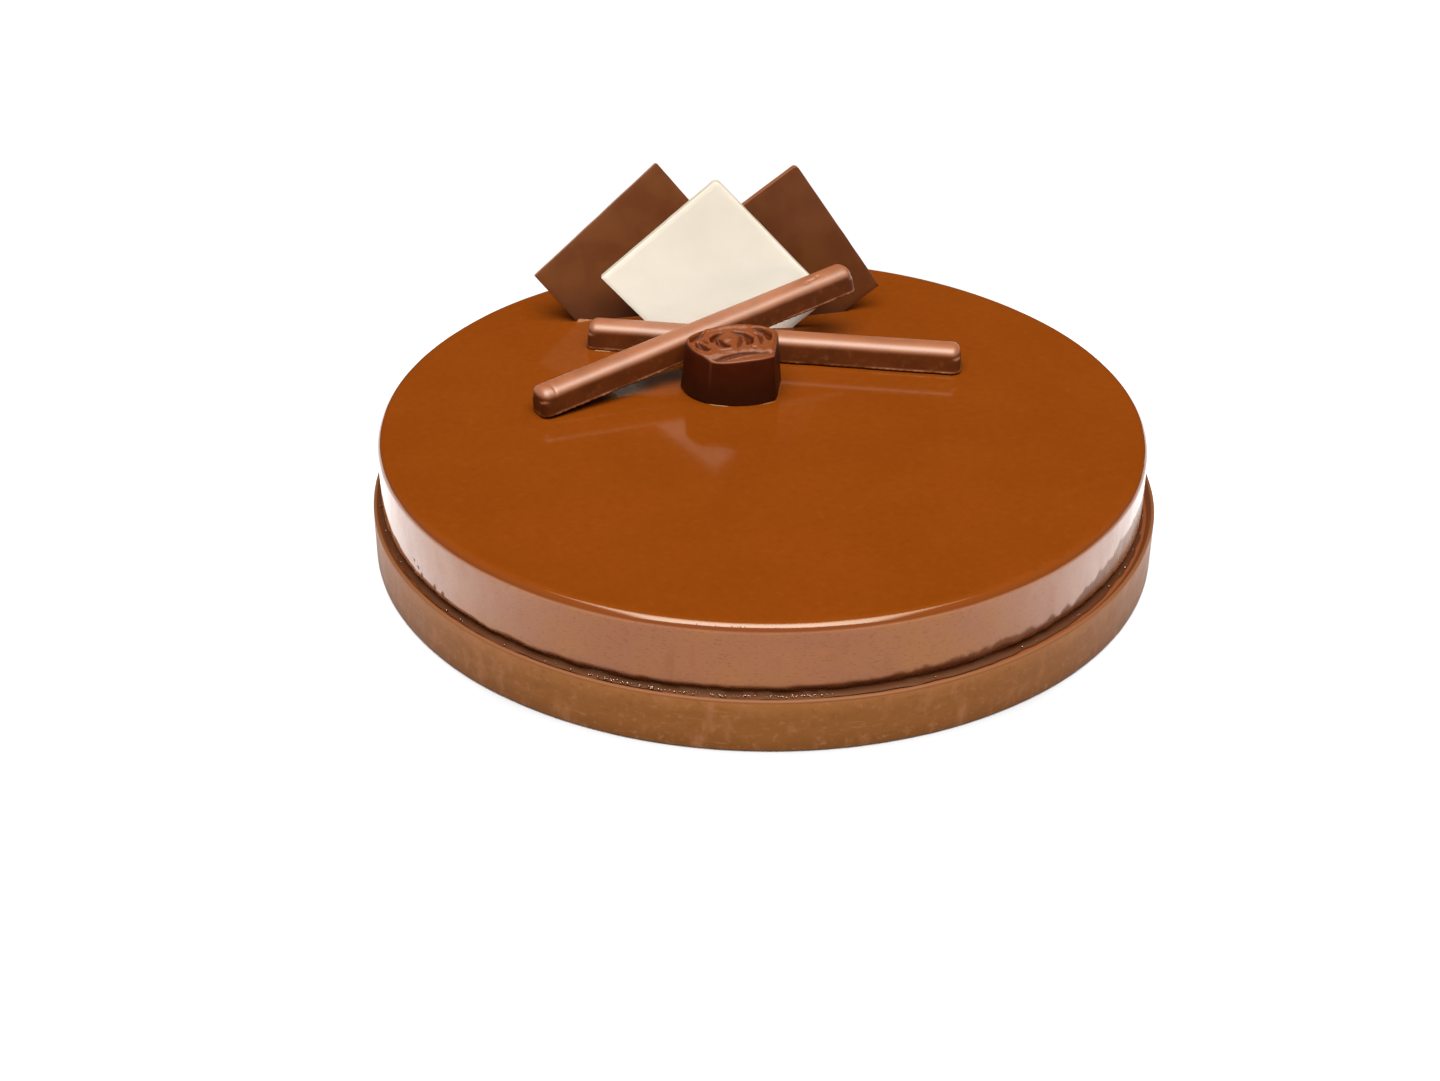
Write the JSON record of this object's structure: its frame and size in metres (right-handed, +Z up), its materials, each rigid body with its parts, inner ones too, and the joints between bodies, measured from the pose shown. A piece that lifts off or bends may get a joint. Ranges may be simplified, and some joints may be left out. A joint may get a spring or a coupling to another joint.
{
  "type": "entremet cake",
  "caption": "Round chocolate entremet with a mirror glaze on a milk chocolate base disc, topped with upright chocolate plates, moulded sticks and a praline.",
  "frame": {"origin": "centre of the cake's underside, on the surface that it stands on", "axes": "+Z up; -Y towards the side that the praline and the sticks face"},
  "size_m": [0.25, 0.25, 0.0946],
  "materials": {
    "milk_chocolate_band": "dull milk chocolate",
    "chocolate_glaze": "mirror glaze, very glossy",
    "milk_chocolate": "satin milk chocolate",
    "white_chocolate": "satin white chocolate",
    "moulded_chocolate": "moulded chocolate with a soft shine",
    "dark_chocolate": "moulded dark chocolate with a soft shine"
  },
  "bodies": {
    "root": {"base_disc": "milk_chocolate_band", "glazed_mousse": "chocolate_glaze", "milk_plate_left": "milk_chocolate", "milk_plate_right": "milk_chocolate", "white_plate": "white_chocolate", "stick_flat": "moulded_chocolate", "stick_leaning": "moulded_chocolate", "praline": "dark_chocolate"}
  },
  "joints": []
}
